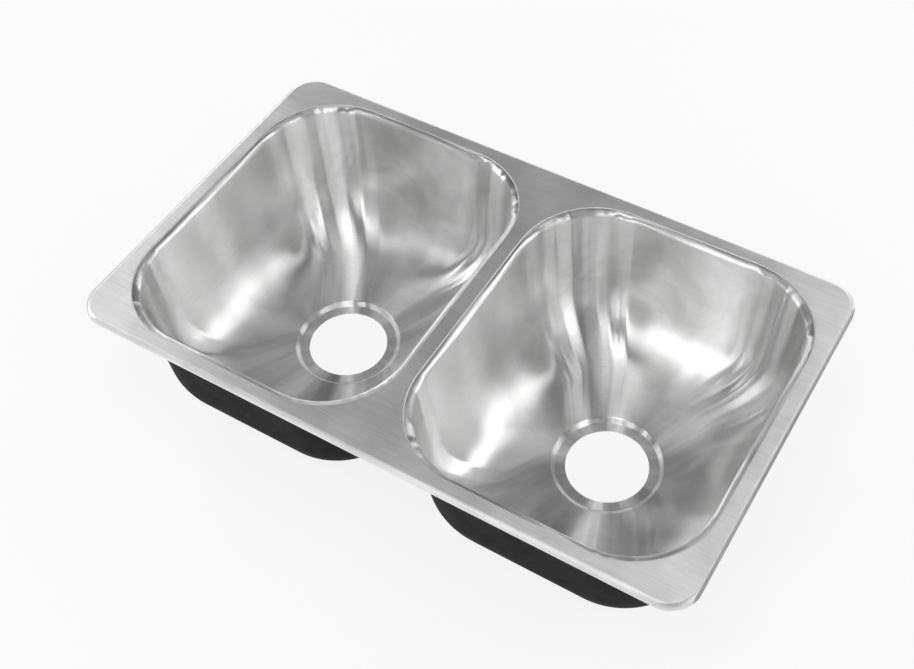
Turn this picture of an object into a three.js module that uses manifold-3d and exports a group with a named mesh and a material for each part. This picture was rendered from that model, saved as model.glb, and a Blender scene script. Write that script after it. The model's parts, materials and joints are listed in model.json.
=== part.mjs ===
// Double bowl kitchen sink that drops into a worktop: a pressed steel deck with a
// turned-down rim, two deep-drawn bowls with a stepped drain seat, a black
// sound-deadening coat round each bowl, and six screw clips that grip the worktop
// from below.
// Millimetres, +Z up, +X along the sink, +Y towards the back.
// The origin is under the middle of the sink, level with the underside of the drains.

import * as THREE from "three";
import { mergeVertices } from "three/addons/utils/BufferGeometryUtils.js";
import Module from "manifold-3d";

// ---- driving dimensions ------------------------------------------------------

const SINK_LENGTH = 686;
const SINK_DEPTH = 406;
const SINK_HEIGHT = 178;
const SINK_CORNER_R = 31;

const SHEET = 0.8;
const FIT_GAP = 0.3;

const RIM_DROP = 8;
const RIM_BEND_R = 4.5;

const BOWL_CENTRE_X = 167;
const OPENING_LENGTH = 317;
const OPENING_DEPTH = 374;
const OPENING_CORNER_R = 88;

const FLANGE_WIDTH = 7;
const LEDGE_WIDTH = 1.5;
const SHOULDER_R = 5;
const WALL_TAPER = THREE.MathUtils.degToRad(4.5);
const FLOOR_BLEND_R = 65;
const FLOOR_SLOPE = THREE.MathUtils.degToRad(8);
const FLOOR_EDGE_DEPTH = 168;
// How fast a bowl's corner radius shrinks as the bowl narrows. At 1 every level would be
// parallel to the opening. Less than that leaves wide, soft corners at the floor.
const CORNER_SHRINK = 0.5;

const DRAIN_HOLE_R = 44.45;
const DRAIN_SEAT_R = 55;
const DRAIN_RING_R = 61;
const DRAIN_RING_BEND_R = 3;
const DRAIN_RECESS_DEPTH = 4.5;

const COAT_THICKNESS = 1.2;
const COAT_TOP_DEPTH = 14;
// How far along the floor the coat runs, from the floor's edge to the drain ring.
const COAT_FLOOR_SHARE = 0.9;

const RAIL_WIDTH = 16;
const RAIL_HEIGHT = 7;
const RAIL_SHEET = 1.2;
const RAIL_SLOT = 7.4;
const CORNER_RAIL_LENGTH = 32;
const MIDDLE_RAIL_LENGTH = 50;

const BOLT_R = 3.1;
const BOLT_LENGTH = 34;
const BOLT_HEAD_LENGTH = 11;
const BOLT_HEAD_WIDTH = 12.8;
const BOLT_HEAD_HEIGHT = 3;

const CLAW_REACH = 33;
const CLAW_TAIL = 7;
const CLAW_WIDTH = 10;
const CLAW_SHEET = 2;
const CLAW_TOOTH = 1.5;
const CLAW_HOLE_R = 3.6;
const CLAW_DEPTH = 25.2;

const WASHER_R = 7.5;
const WASHER_HOLE_R = 3.6;
const WASHER_SHEET = 1.2;

const NUT_HUB_R = 5.6;
const NUT_HUB_TOP_R = 4.6;
const NUT_HEIGHT = 6.5;
const NUT_BORE_R = 3.4;
const WING_REACH = 11;
const WING_SHEET = 2;
const WING_ROOT = 3;

// A clip sits where the deck is widest: outside each sink corner's bowl curve, on the
// diagonal, and between the bowls at the front and back.
const CORNER_CLIP_FROM_CURVE = 110;
const MIDDLE_CLIP_Y = 176;

// ---- how finely round shapes are cut -----------------------------------------

const CORNER_STEPS = 7;
const SIDE_STEPS = 3;
const SHOULDER_STEPS = 3;
const BLEND_STEPS = 5;
const BEND_STEPS = 3;
const ROUND_STEPS = 12;

// ---- materials ---------------------------------------------------------------

function finish(color, roughness, metalness) {
  return new THREE.MeshStandardMaterial({ color, roughness, metalness });
}

const DECK_STEEL = finish(0xc9c9c6, 0.34, 1);
const BOWL_STEEL = finish(0xb4b4b0, 0.27, 1);
const BLACK_COAT = finish(0x26272a, 0.92, 0);
const RAIL_STEEL = finish(0xa9adb0, 0.45, 1);
const ZINC_PLATE = finish(0xb9bcc2, 0.38, 1);

// ---- closed loops of points --------------------------------------------------

// Anticlockwise rounded rectangle, seen from above. Every loop has the same number of
// points, so neighbouring loops can be stitched point to point.
function roundedLoop(halfLength, halfDepth, radius, z) {
  const points = [];
  const corners = [[1, 1], [-1, 1], [-1, -1], [1, -1]];
  corners.forEach(([sx, sy], quarter) => {
    for (let step = 0; step <= CORNER_STEPS; step += 1) {
      const angle = (quarter + step / CORNER_STEPS) * Math.PI / 2;
      points.push(new THREE.Vector3(
        sx * (halfLength - radius) + radius * Math.cos(angle),
        sy * (halfDepth - radius) + radius * Math.sin(angle),
        z,
      ));
    }
    const [nx, ny] = corners[(quarter + 1) % corners.length];
    const from = points[points.length - 1];
    const nextAngle = (quarter + 1) * Math.PI / 2;
    const to = new THREE.Vector3(
      nx * (halfLength - radius) + radius * Math.cos(nextAngle),
      ny * (halfDepth - radius) + radius * Math.sin(nextAngle),
      z,
    );
    for (let step = 1; step < SIDE_STEPS; step += 1) {
      points.push(from.clone().lerp(to, step / SIDE_STEPS));
    }
  });
  return points;
}

// The sink's outline, moved outward by offset.
function deckLoop(offset, z) {
  return roundedLoop(
    SINK_LENGTH / 2 + offset,
    SINK_DEPTH / 2 + offset,
    SINK_CORNER_R + offset,
    z,
  );
}

// A bowl opening's outline about the bowl's own centre, moved outward by offset. Inward
// of the opening its corner radius shrinks more slowly than its sides draw in.
function openingLoop(offset, z) {
  return roundedLoop(
    OPENING_LENGTH / 2 + offset,
    OPENING_DEPTH / 2 + offset,
    OPENING_CORNER_R + Math.max(offset, CORNER_SHRINK * offset),
    z,
  );
}

// A circle with as many points as a rounded loop, evenly spaced, and turned so that the
// middle of each corner stays on its diagonal.
function circleLoop(radius, z) {
  const count = 4 * (CORNER_STEPS + SIDE_STEPS);
  return Array.from({ length: count }, (_, index) => {
    const angle = Math.PI / 4 + (index - CORNER_STEPS / 2) * 2 * Math.PI / count;
    return new THREE.Vector3(radius * Math.cos(angle), radius * Math.sin(angle), z);
  });
}

function lerpLoops(from, to, share) {
  return from.map((point, index) => point.clone().lerp(to[index], share));
}

function moveLoop(loop, x) {
  return loop.map((point) => point.clone().setX(point.x + x));
}

// ---- building closed skins ---------------------------------------------------

// Collects loops of points and the triangles between them.
class Skin {
  constructor() {
    this.points = [];
    this.triangles = [];
  }

  add(loop) {
    const first = this.points.length;
    this.points.push(...loop);
    return loop.map((_, index) => first + index);
  }

  // Triangles between two loops. Going inward on a surface that faces up, from the
  // outer loop to the inner one, makes the faces point up. Both ways round, a quad is
  // split along the same diagonal, so that two faces of one sheet stay parallel.
  stitchInward(outer, inner) {
    outer.forEach((a, index) => {
      const next = (index + 1) % outer.length;
      this.triangles.push(a, outer[next], inner[next], a, inner[next], inner[index]);
    });
  }

  stitchOutward(inner, outer) {
    inner.forEach((a, index) => {
      const next = (index + 1) % inner.length;
      this.triangles.push(a, inner[next], outer[index]);
      this.triangles.push(inner[next], outer[next], outer[index]);
    });
  }

  geometry() {
    const flat = this.points.flatMap((point) => point.toArray());
    const geometry = new THREE.BufferGeometry();
    geometry.setAttribute("position", new THREE.Float32BufferAttribute(flat, 3));
    geometry.setIndex(this.triangles);
    geometry.computeVertexNormals();
    return geometry;
  }
}

// A sheet round an opening: its upper face and its under face, each from the outer loop
// to the inner one, and the edges that join them.
function sheetGeometry(upper, under) {
  const skin = new Skin();
  const upperRows = upper.map((loop) => skin.add(loop));
  const underRows = under.map((loop) => skin.add(loop));
  const last = upper.length - 1;
  for (let row = 0; row < last; row += 1) {
    skin.stitchInward(upperRows[row], upperRows[row + 1]);
    skin.stitchOutward(underRows[row + 1], underRows[row]);
  }
  skin.stitchInward(upperRows[last], underRows[last]);
  skin.stitchOutward(underRows[0], upperRows[0]);
  return skin.geometry();
}

// ---- boolean cuts and joins --------------------------------------------------

const wasm = await Module();
wasm.setup();

function solid(geometry) {
  const bare = geometry.clone();
  bare.deleteAttribute("normal");
  bare.deleteAttribute("uv");
  const merged = mergeVertices(bare);
  return new wasm.Manifold(new wasm.Mesh({
    numProp: 3,
    vertProperties: new Float32Array(merged.attributes.position.array),
    triVerts: new Uint32Array(merged.index.array),
  }));
}

function solidGeometry(body) {
  const mesh = body.getMesh();
  const geometry = new THREE.BufferGeometry();
  geometry.setAttribute("position", new THREE.BufferAttribute(mesh.vertProperties, 3));
  geometry.setIndex(new THREE.BufferAttribute(mesh.triVerts, 1));
  geometry.computeVertexNormals();
  return geometry;
}

// Upright cylinder between two heights.
function postGeometry(radius, bottom, top, topRadius = radius) {
  const geometry = new THREE.CylinderGeometry(topRadius, radius, top - bottom, ROUND_STEPS);
  geometry.rotateX(Math.PI / 2);
  geometry.translate(0, 0, (bottom + top) / 2);
  return geometry;
}

// ---- deck --------------------------------------------------------------------

// Section of the turned-down rim, from the deck's underside out, down and back to its
// top: [offset from the outline, height].
function rimSection() {
  const bendZ = SINK_HEIGHT - RIM_BEND_R;
  const section = [];
  for (let step = 0; step <= BEND_STEPS; step += 1) {
    const angle = Math.PI / 2 * (1 - step / BEND_STEPS);
    const radius = RIM_BEND_R - SHEET;
    section.push([radius * Math.cos(angle) - RIM_BEND_R, bendZ + radius * Math.sin(angle)]);
  }
  section.push([-SHEET, SINK_HEIGHT - RIM_DROP]);
  section.push([0, SINK_HEIGHT - RIM_DROP]);
  for (let step = 0; step <= BEND_STEPS; step += 1) {
    const angle = Math.PI / 2 * step / BEND_STEPS;
    section.push([
      RIM_BEND_R * Math.cos(angle) - RIM_BEND_R,
      bendZ + RIM_BEND_R * Math.sin(angle),
    ]);
  }
  return section;
}

function deckGeometry() {
  const skin = new Skin();
  const rim = rimSection().map(([offset, z]) => skin.add(deckLoop(offset, z)));
  rim.slice(1).forEach((row, index) => skin.stitchOutward(rim[index], row));

  const holes = [-BOWL_CENTRE_X, BOWL_CENTRE_X].map((x) => {
    const top = skin.add(moveLoop(openingLoop(0, SINK_HEIGHT), x));
    const under = skin.add(moveLoop(openingLoop(0, SINK_HEIGHT - SHEET), x));
    skin.stitchInward(top, under);
    return { top, under };
  });

  const topRim = rim[rim.length - 1];
  const underRim = rim[0];
  const flatten = (row) => row.map((index) => skin.points[index]);
  const faces = THREE.ShapeUtils.triangulateShape(
    flatten(topRim),
    holes.map((hole) => flatten(hole.top)),
  );
  const topRow = [...topRim, ...holes.flatMap((hole) => hole.top)];
  const underRow = [...underRim, ...holes.flatMap((hole) => hole.under)];
  faces.forEach(([a, b, c]) => {
    skin.triangles.push(topRow[a], topRow[b], topRow[c]);
    skin.triangles.push(underRow[a], underRow[c], underRow[b]);
  });
  return skin.geometry();
}

// ---- bowls -------------------------------------------------------------------

// The bowl's pressed section is one line of arcs and straights. Its inside face is at
// depth 0 into the sheet, and every other face of the bowl or its coat is the same line
// moved out by its depth.
const FLANGE_Z = SINK_HEIGHT - SHEET - FIT_GAP;
const WALL_NORMAL = new THREE.Vector2(-Math.cos(WALL_TAPER), Math.sin(WALL_TAPER));
const WALL_DOWN = new THREE.Vector2(-Math.sin(WALL_TAPER), -Math.cos(WALL_TAPER));
const SHOULDER_CENTRE = new THREE.Vector2(-LEDGE_WIDTH, FLANGE_Z - SHOULDER_R);
const FLOOR_EDGE_Z = SINK_HEIGHT - FLOOR_EDGE_DEPTH;
const RING_Z = SHEET + DRAIN_RECESS_DEPTH;

function blendCentre() {
  const wallTop = SHOULDER_CENTRE.clone().addScaledVector(WALL_NORMAL, SHOULDER_R);
  const touch = FLOOR_EDGE_Z + FLOOR_BLEND_R * Math.cos(FLOOR_SLOPE);
  const rise = FLOOR_BLEND_R * WALL_NORMAL.y;
  const wallLength = (wallTop.y + rise - touch) / Math.cos(WALL_TAPER);
  return wallTop
    .addScaledVector(WALL_DOWN, wallLength)
    .addScaledVector(WALL_NORMAL, FLOOR_BLEND_R);
}

const BLEND_CENTRE = blendCentre();

function arcLoops(centre, radius, fromAngle, toAngle, steps) {
  const loops = [];
  for (let step = 0; step <= steps; step += 1) {
    const angle = THREE.MathUtils.lerp(fromAngle, toAngle, step / steps);
    loops.push(openingLoop(
      centre.x + radius * Math.cos(angle),
      centre.y + radius * Math.sin(angle),
    ));
  }
  return loops;
}

function shoulderLoops(depth) {
  return arcLoops(
    SHOULDER_CENTRE,
    SHOULDER_R - depth,
    Math.PI / 2,
    Math.PI - WALL_TAPER,
    SHOULDER_STEPS,
  );
}

function blendLoops(depth) {
  return arcLoops(
    BLEND_CENTRE,
    FLOOR_BLEND_R + depth,
    -WALL_TAPER,
    FLOOR_SLOPE - Math.PI / 2,
    BLEND_STEPS,
  );
}

// The floor falls from the blend's last loop to a circle round the drain.
function floorLoops(edge, depth) {
  const circle = circleLoop(DRAIN_RING_R, RING_Z - depth);
  return [lerpLoops(edge, circle, 0.5), circle];
}

// The drain recess: a bent ring, a cone and a flat seat round the hole.
function recessLoops(depth) {
  const bend = DRAIN_RING_BEND_R - depth;
  const bendAngle = Math.PI / 4;
  return [
    circleLoop(
      DRAIN_RING_R - bend * Math.sin(bendAngle),
      RING_Z - DRAIN_RING_BEND_R + bend * Math.cos(bendAngle),
    ),
    circleLoop(DRAIN_SEAT_R, SHEET - depth),
    circleLoop(DRAIN_HOLE_R, SHEET - depth),
  ];
}

function bowlFaceLoops(depth) {
  const blend = blendLoops(depth);
  const edge = blend[blend.length - 1];
  return [
    openingLoop(FLANGE_WIDTH, FLANGE_Z - depth),
    ...shoulderLoops(depth),
    ...blend,
    ...floorLoops(edge, depth),
    ...recessLoops(depth),
  ];
}

function bowlGeometry() {
  return sheetGeometry(bowlFaceLoops(0), bowlFaceLoops(SHEET));
}

// ---- sound-deadening coat ----------------------------------------------------

function coatFaceLoops(depth) {
  const wallTop = SHOULDER_CENTRE.clone().addScaledVector(WALL_NORMAL, SHOULDER_R - depth);
  const drop = (wallTop.y - (SINK_HEIGHT - COAT_TOP_DEPTH)) / Math.cos(WALL_TAPER);
  const start = wallTop.addScaledVector(WALL_DOWN, drop);
  const blend = blendLoops(depth);
  const edge = blend[blend.length - 1];
  const [middle, ring] = floorLoops(edge, depth);
  return [
    openingLoop(start.x, start.y),
    ...blend,
    middle,
    lerpLoops(edge, ring, COAT_FLOOR_SHARE),
  ];
}

function coatGeometry() {
  const nearFace = SHEET + FIT_GAP;
  return sheetGeometry(coatFaceLoops(nearFace), coatFaceLoops(nearFace + COAT_THICKNESS));
}

// ---- clips -------------------------------------------------------------------

// A clip's pieces are drawn about its bolt, with z = 0 at the deck's underside and x
// along the rail.

const RAIL_TOP = -FIT_GAP;

// C-shaped rail, open below, that a T-headed bolt slides in.
function railGeometry(length) {
  const half = RAIL_WIDTH / 2;
  const inner = half - RAIL_SHEET;
  const slot = RAIL_SLOT / 2;
  const bottom = RAIL_TOP - RAIL_HEIGHT;
  const right = [
    [half, RAIL_TOP],
    [half, bottom],
    [slot, bottom],
    [slot, bottom + RAIL_SHEET],
    [inner, bottom + RAIL_SHEET],
    [inner, RAIL_TOP - RAIL_SHEET],
  ];
  const left = right.map(([y, z]) => [-y, z]).reverse();
  const outline = [...right, ...left].map(([y, z]) => new THREE.Vector2(y, z));
  const geometry = new THREE.ExtrudeGeometry(new THREE.Shape(outline), {
    depth: length,
    bevelEnabled: false,
  });
  geometry.translate(0, 0, -length / 2);
  geometry.rotateX(Math.PI / 2);
  geometry.rotateZ(Math.PI / 2);
  return geometry;
}

// The bolt's head hangs just clear of the rail's turned-in lips.
const LIP_TOP = RAIL_TOP - RAIL_HEIGHT + RAIL_SHEET;
const HEAD_BOTTOM = LIP_TOP + FIT_GAP;

function boltGeometry() {
  const head = new THREE.BoxGeometry(BOLT_HEAD_LENGTH, BOLT_HEAD_WIDTH, BOLT_HEAD_HEIGHT);
  head.translate(0, 0, HEAD_BOTTOM + BOLT_HEAD_HEIGHT / 2);
  const shankEnd = HEAD_BOTTOM + BOLT_HEAD_HEIGHT - BOLT_LENGTH;
  const shank = postGeometry(BOLT_R, shankEnd, HEAD_BOTTOM + BOLT_HEAD_HEIGHT / 2);
  return solidGeometry(solid(head).add(solid(shank)));
}

// Flat arm with a turned-up tooth at its far end, pointing along +x.
function clawGeometry() {
  const top = -CLAW_DEPTH;
  const bottom = top - CLAW_SHEET;
  const profile = new THREE.Shape([
    new THREE.Vector2(-CLAW_TAIL, bottom),
    new THREE.Vector2(CLAW_REACH, bottom),
    new THREE.Vector2(CLAW_REACH, top + CLAW_TOOTH),
    new THREE.Vector2(CLAW_REACH - CLAW_SHEET, top + CLAW_TOOTH),
    new THREE.Vector2(CLAW_REACH - CLAW_SHEET, top),
    new THREE.Vector2(-CLAW_TAIL, top),
  ]);
  const arm = new THREE.ExtrudeGeometry(profile, { depth: CLAW_WIDTH, bevelEnabled: false });
  arm.translate(0, 0, -CLAW_WIDTH / 2);
  arm.rotateX(Math.PI / 2);
  const hole = postGeometry(CLAW_HOLE_R, bottom - 1, top + 1);
  return solidGeometry(solid(arm).subtract(solid(hole)));
}

const WASHER_TOP = -CLAW_DEPTH - CLAW_SHEET - FIT_GAP;

function washerGeometry() {
  const disc = postGeometry(WASHER_R, WASHER_TOP - WASHER_SHEET, WASHER_TOP);
  const hole = postGeometry(WASHER_HOLE_R, WASHER_TOP - WASHER_SHEET - 1, WASHER_TOP + 1);
  return solidGeometry(solid(disc).subtract(solid(hole)));
}

const NUT_TOP = WASHER_TOP - WASHER_SHEET - FIT_GAP;

// Threaded hub with two ears that widen away from the washer.
function wingNutGeometry() {
  const bottom = NUT_TOP - NUT_HEIGHT;
  const hub = postGeometry(NUT_HUB_TOP_R, bottom, NUT_TOP, NUT_HUB_R);
  const ears = new THREE.Shape([
    new THREE.Vector2(-WING_REACH, bottom),
    new THREE.Vector2(WING_REACH, bottom),
    new THREE.Vector2(WING_REACH, bottom + WING_ROOT),
    new THREE.Vector2(NUT_HUB_TOP_R, NUT_TOP - 1),
    new THREE.Vector2(-NUT_HUB_TOP_R, NUT_TOP - 1),
    new THREE.Vector2(-WING_REACH, bottom + WING_ROOT),
  ]);
  const wings = new THREE.ExtrudeGeometry(ears, { depth: WING_SHEET, bevelEnabled: false });
  wings.translate(0, 0, -WING_SHEET / 2);
  wings.rotateX(Math.PI / 2);
  const bore = postGeometry(NUT_BORE_R, bottom - 1, NUT_TOP + 1);
  return solidGeometry(solid(hub).add(solid(wings)).subtract(solid(bore)));
}

// ---- assembly ----------------------------------------------------------------

const sink = new THREE.Group();

function place(parent, name, geometry, material) {
  const mesh = new THREE.Mesh(geometry, material);
  mesh.name = name;
  parent.add(mesh);
  return mesh;
}

place(sink, "deck", deckGeometry(), DECK_STEEL);

for (const [side, sign] of [["left", -1], ["right", 1]]) {
  const bowl = new THREE.Group();
  bowl.position.x = sign * BOWL_CENTRE_X;
  place(bowl, `${side}_bowl`, bowlGeometry(), BOWL_STEEL);
  place(bowl, `${side}_undercoat`, coatGeometry(), BLACK_COAT);
  sink.add(bowl);
}

// Outer corner curve of a bowl opening, about which the corner clips are set out.
const CURVE_X = BOWL_CENTRE_X + OPENING_LENGTH / 2 - OPENING_CORNER_R;
const CURVE_Y = OPENING_DEPTH / 2 - OPENING_CORNER_R;
const CORNER_CLIP_X = CURVE_X + CORNER_CLIP_FROM_CURVE * Math.SQRT1_2;
const CORNER_CLIP_Y = CURVE_Y + CORNER_CLIP_FROM_CURVE * Math.SQRT1_2;

// Stowed arms lie along the sink, pointing to its middle, so that the clips pass
// through the worktop's cut-out.
const STATIONS = [
  { name: "front_left", sx: -1, sy: -1 },
  { name: "front_middle", sx: 0, sy: -1 },
  { name: "front_right", sx: 1, sy: -1 },
  { name: "back_left", sx: -1, sy: 1 },
  { name: "back_middle", sx: 0, sy: 1 },
  { name: "back_right", sx: 1, sy: 1 },
];

for (const { name, sx, sy } of STATIONS) {
  const corner = sx !== 0;
  const clip = new THREE.Group();
  clip.position.set(
    sx * CORNER_CLIP_X,
    sy * (corner ? CORNER_CLIP_Y : MIDDLE_CLIP_Y),
    SINK_HEIGHT - SHEET,
  );
  const alongRail = new THREE.Group();
  alongRail.rotation.z = -sx * sy * Math.PI / 4;
  clip.add(alongRail);
  const railLength = corner ? CORNER_RAIL_LENGTH : MIDDLE_RAIL_LENGTH;
  place(alongRail, `clip_rail_${name}`, railGeometry(railLength), RAIL_STEEL);
  place(alongRail, `clip_bolt_${name}`, boltGeometry(), ZINC_PLATE);
  const claw = place(clip, `clip_claw_${name}`, clawGeometry(), ZINC_PLATE);
  claw.rotation.z = sx < 0 ? 0 : Math.PI;
  place(clip, `clip_washer_${name}`, washerGeometry(), ZINC_PLATE);
  place(clip, `clip_wing_nut_${name}`, wingNutGeometry(), ZINC_PLATE);
  sink.add(clip);
}

export default sink;
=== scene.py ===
# %% [markdown]
# # A drop-in double bowl sink in satin stainless steel
#
# The sink is a thin pressed deck with a turned-down rim, two deep-drawn bowls, a black
# sprayed coat on the outside of each bowl, and six screw clips under the rim.
# The engineering model fixes every size and place. Here each of its plain solids gets a
# finely rounded mesh in the same place, and a finish built from shader nodes.
# Everything is in metres, with +X along the sink, +Y to the back and +Z up.

# %% Load the fixed frame
import json
import math

import bmesh
import bpy
import numpy as np
from mathutils import Matrix, Vector, noise
from mathutils.geometry import tessellate_polygon

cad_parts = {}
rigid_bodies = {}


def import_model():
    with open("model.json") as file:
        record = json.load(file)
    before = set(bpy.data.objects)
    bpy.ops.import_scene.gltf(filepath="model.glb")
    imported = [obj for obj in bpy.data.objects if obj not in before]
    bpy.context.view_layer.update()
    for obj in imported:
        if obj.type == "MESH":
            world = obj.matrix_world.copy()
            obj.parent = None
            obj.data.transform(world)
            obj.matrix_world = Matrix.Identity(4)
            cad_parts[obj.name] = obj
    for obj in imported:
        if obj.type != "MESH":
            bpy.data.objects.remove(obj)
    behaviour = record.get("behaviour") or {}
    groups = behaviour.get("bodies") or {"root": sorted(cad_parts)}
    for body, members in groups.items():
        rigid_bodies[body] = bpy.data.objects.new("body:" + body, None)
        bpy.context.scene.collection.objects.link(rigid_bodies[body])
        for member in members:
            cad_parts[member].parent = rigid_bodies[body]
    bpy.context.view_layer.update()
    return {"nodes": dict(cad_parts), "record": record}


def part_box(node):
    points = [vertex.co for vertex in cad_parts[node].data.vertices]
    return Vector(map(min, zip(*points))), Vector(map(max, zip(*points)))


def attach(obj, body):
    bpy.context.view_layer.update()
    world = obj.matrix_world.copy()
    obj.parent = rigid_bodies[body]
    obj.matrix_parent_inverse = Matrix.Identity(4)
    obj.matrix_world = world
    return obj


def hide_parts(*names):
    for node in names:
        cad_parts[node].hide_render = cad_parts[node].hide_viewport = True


for stray in list(bpy.data.objects):
    bpy.data.objects.remove(stray)

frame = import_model()
print("nodes in the frame:", len(frame["nodes"]))

# %% [markdown]
# ## The camera
#
# A photograph fixes where its camera stood. A pinhole camera was fitted to the rim, the
# bowl openings and the drain holes, so the lens, the eye and the slight roll below are
# real measures. A camera placed by eye would shift every edge and every reflection. The
# axis of the lens meets the picture a little off its middle, which the camera's shift
# gives.

# %% The camera of the photograph
PHOTO_WIDTH = 914
PHOTO_HEIGHT = 669
AXIS_PIXEL = (482, 294.5)
CAMERA_EYE = Vector((0.5023, -0.7167, 1.2420))
CAMERA_AIM = Vector((-0.0251, 0.0693, 0.1000))
CAMERA_ROLL = math.radians(-3.6)
CAMERA_LENS = 54.0
SENSOR_WIDTH = 36.0

camera_data = bpy.data.cameras.new("photo_camera")
camera_data.lens = CAMERA_LENS
camera_data.sensor_width = SENSOR_WIDTH
camera_data.shift_x = (PHOTO_WIDTH / 2 - AXIS_PIXEL[0]) / PHOTO_WIDTH
camera_data.shift_y = (AXIS_PIXEL[1] - PHOTO_HEIGHT / 2) / PHOTO_WIDTH
camera = bpy.data.objects.new("photo_camera", camera_data)
bpy.context.scene.collection.objects.link(camera)
look = (CAMERA_AIM - CAMERA_EYE).to_track_quat("-Z", "Y").to_matrix().to_4x4()
camera.matrix_world = Matrix.Translation(CAMERA_EYE) @ look @ Matrix.Rotation(CAMERA_ROLL, 4, "Z")
bpy.context.scene.camera = camera
print("camera is", round((CAMERA_AIM - CAMERA_EYE).length, 3), "m from the sink")

# %% [markdown]
# ## Wiring shader nodes
#
# A procedural material is a small circuit of nodes. It could be wired by hand in the
# shader editor, but a script wires it the same way each time. A few helpers keep the
# circuits below readable: they add a node and plug in its inputs, do one sum, rescale a
# value, start a node group and place one. A group is a circuit with named sockets that
# several materials can share.

# %% Helpers for nodes
def add_node(tree, kind, inputs=None, **settings):
    node = tree.nodes.new(kind)
    for name, value in settings.items():
        setattr(node, name, value)
    for socket_name, value in (inputs or {}).items():
        socket = node.inputs[socket_name]
        if isinstance(value, bpy.types.NodeSocket):
            tree.links.new(value, socket)
        else:
            socket.default_value = value
    return node


def calculate(tree, operation, *values):
    node = add_node(tree, "ShaderNodeMath", dict(enumerate(values)), operation=operation)
    return node.outputs["Value"]


def rescale(tree, value, low, high, to_low=0.0, to_high=1.0, kind="LINEAR"):
    node = add_node(tree, "ShaderNodeMapRange", {
        "Value": value,
        "From Min": low,
        "From Max": high,
        "To Min": to_low,
        "To Max": to_high,
    }, interpolation_type=kind)
    return node.outputs["Result"]


print("sums and scales ready")


# %% Helpers for node groups
def new_group(name, inputs, outputs):
    group = bpy.data.node_groups.new(name, "ShaderNodeTree")
    for socket_name, kind, value in inputs:
        socket = group.interface.new_socket(socket_name, in_out="INPUT", socket_type=kind)
        if value is not None:
            socket.default_value = value
    for socket_name, kind in outputs:
        group.interface.new_socket(socket_name, in_out="OUTPUT", socket_type=kind)
    return group, group.nodes.new("NodeGroupInput"), group.nodes.new("NodeGroupOutput")


def use_group(tree, group, inputs):
    node = tree.nodes.new("ShaderNodeGroup")
    node.node_tree = group
    for socket_name, value in inputs.items():
        if isinstance(value, bpy.types.NodeSocket):
            tree.links.new(value, node.inputs[socket_name])
        else:
            node.inputs[socket_name].default_value = value
    return node


print("group helpers ready")

# %% [markdown]
# ## Grain: lines left by brushing and pressing
#
# A satin finish is thousands of fine scratches that run one way. A scanned picture of
# them would repeat and blur close up. Stretching a noise pattern far more along the
# scratches than across them gives that look at any zoom.
# The group returns a height for fine relief and a shade for slow changes of tone. It
# serves the deck, the bowls and the rails, each with its own direction, and the zinc,
# where it runs no way in particular.

# %% Node group: directed grain
LINES_SHARE = 0.5
PATCHES_SHARE = 0.5

grain, given, result = new_group(
    "directed_grain",
    [
        ("Place", "NodeSocketVector", None),
        ("Lines per metre", "NodeSocketVector", (40.0, 4000.0, 4000.0)),
        ("Fineness", "NodeSocketFloat", 3.0),
        ("Patches per metre", "NodeSocketFloat", 14.0),
    ],
    [("Height", "NodeSocketFloat"), ("Shade", "NodeSocketFloat")],
)
stretched = add_node(grain, "ShaderNodeVectorMath", {
    0: given.outputs["Place"],
    1: given.outputs["Lines per metre"],
}, operation="MULTIPLY")
fine = add_node(grain, "ShaderNodeTexNoise", {
    "Vector": stretched.outputs["Vector"],
    "Scale": 1.0,
    "Detail": given.outputs["Fineness"],
    "Roughness": 0.6,
})
patches = add_node(grain, "ShaderNodeTexNoise", {
    "Vector": given.outputs["Place"],
    "Scale": given.outputs["Patches per metre"],
    "Detail": 2.0,
    "Roughness": 0.5,
})
mixed = calculate(grain, "ADD",
    calculate(grain, "MULTIPLY", fine.outputs["Fac"], LINES_SHARE),
    calculate(grain, "MULTIPLY", patches.outputs["Fac"], PATCHES_SHARE))
grain.links.new(fine.outputs["Fac"], result.inputs["Height"])
grain.links.new(mixed, result.inputs["Shade"])
print("grain group:", len(grain.nodes), "nodes")

# %% [markdown]
# ## Handling marks: dull and smoky patches
#
# Steel that has been handled isn't evenly bright. Cloudy patches scatter light a little
# more. They could be painted on, but a noise that is pulled about by its own distortion
# covers every side and needs no unwrapping. The mask from this group moves roughness by
# a few hundredths, and in the bowls it darkens the tone by up to a sixth or so. That is
# enough to take away the look of plastic.

# %% Node group: handling marks
CLOUD_RANGE = (0.38, 0.66)

marks, given, result = new_group(
    "handling_marks",
    [("Place", "NodeSocketVector", None), ("Marks per metre", "NodeSocketFloat", 9.0)],
    [("Mask", "NodeSocketFloat")],
)
cloud = add_node(marks, "ShaderNodeTexNoise", {
    "Vector": given.outputs["Place"],
    "Scale": given.outputs["Marks per metre"],
    "Detail": 4.0,
    "Roughness": 0.62,
    "Distortion": 0.8,
})
marks.links.new(rescale(marks, cloud.outputs["Fac"], *CLOUD_RANGE), result.inputs["Mask"])
print("marks group:", len(marks.nodes), "nodes")

# %% [markdown]
# ## Spray grain: the pebbled face of a sprayed coat
#
# Sound-deadening coat goes on as a thick spray and dries to a rubbery pebbled skin. A
# plain noise looks like cloth there. Small rounded cells over larger lumps look like
# drops that ran together, and rare pale specks stand for dust caught in them.

# %% Node group: spray grain
PEBBLE_SHARE = 0.6
LUMP_SHARE = 0.8
SPECK_RANGE = (0.66, 0.74)

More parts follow.
